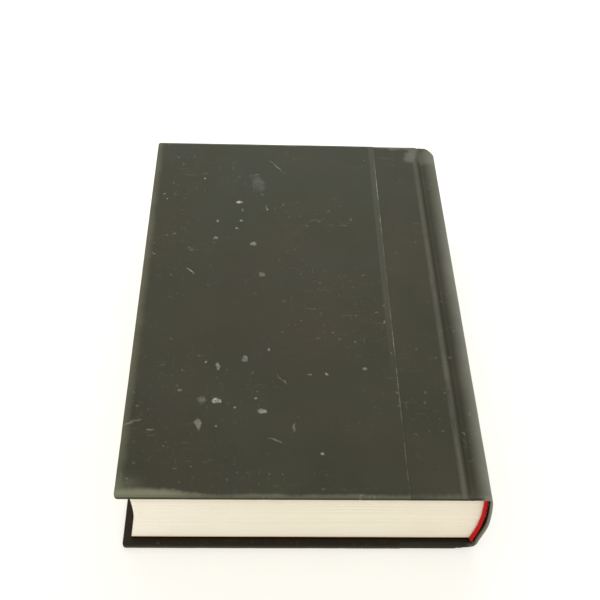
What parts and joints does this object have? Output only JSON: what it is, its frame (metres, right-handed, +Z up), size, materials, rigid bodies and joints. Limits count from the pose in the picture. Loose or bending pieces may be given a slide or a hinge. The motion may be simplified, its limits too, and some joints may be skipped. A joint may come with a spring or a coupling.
{
  "type": "hardback book",
  "caption": "Thick hardback book with plain dark paper sides, a cloth spine and grooved joints; both covers open on their hinges",
  "frame": {"origin": "centre of the footprint of the closed book, on the surface it lies on", "axes": "+Z up through the thickness, +Y towards the head of the book, +X towards the spine; the book lies on its front cover"},
  "size_m": [0.164, 0.2414, 0.0438],
  "materials": {
    "leaves": "uncoated cream book paper, trimmed edges",
    "endpaper": "plain uncoated endpaper",
    "band_silk": "red woven end band",
    "gauze": "open starched gauze",
    "kraft_paper": "brown kraft paper",
    "card": "flexible grey card",
    "greyboard": "rolled grey binder's board",
    "quarter_cloth": "dark filled book cloth, rubbed",
    "side_paper": "dark matt covering paper, scuffed and dusty"
  },
  "bodies": {
    "root": {"text_block": "leaves", "front_flyleaf": "endpaper", "back_flyleaf": "endpaper", "head_band": "band_silk", "tail_band": "band_silk", "spine_mull": "gauze", "spine_lining": "kraft_paper", "spine_card_strip": "card", "spine_cloth": "quarter_cloth"},
    "front_cover": {"front_board": "greyboard", "front_side_paper": "side_paper", "front_joint_cloth": "quarter_cloth", "front_mull_flange": "gauze", "front_pastedown": "endpaper"},
    "back_cover": {"back_board": "greyboard", "back_side_paper": "side_paper", "back_joint_cloth": "quarter_cloth", "back_mull_flange": "gauze", "back_pastedown": "endpaper"}
  },
  "joints": [
    {"name": "front_cover_hinge", "type": "hinge", "parent": "root", "child": "front_cover", "pos_m": [0.07168, 0, 0], "axis": [0, -1, 0], "range_deg": [0, 178]},
    {"name": "back_cover_hinge", "type": "hinge", "parent": "root", "child": "back_cover", "pos_m": [0.07168, 0, 0.0438], "axis": [0, 1, 0], "range_deg": [0, 178]}
  ]
}
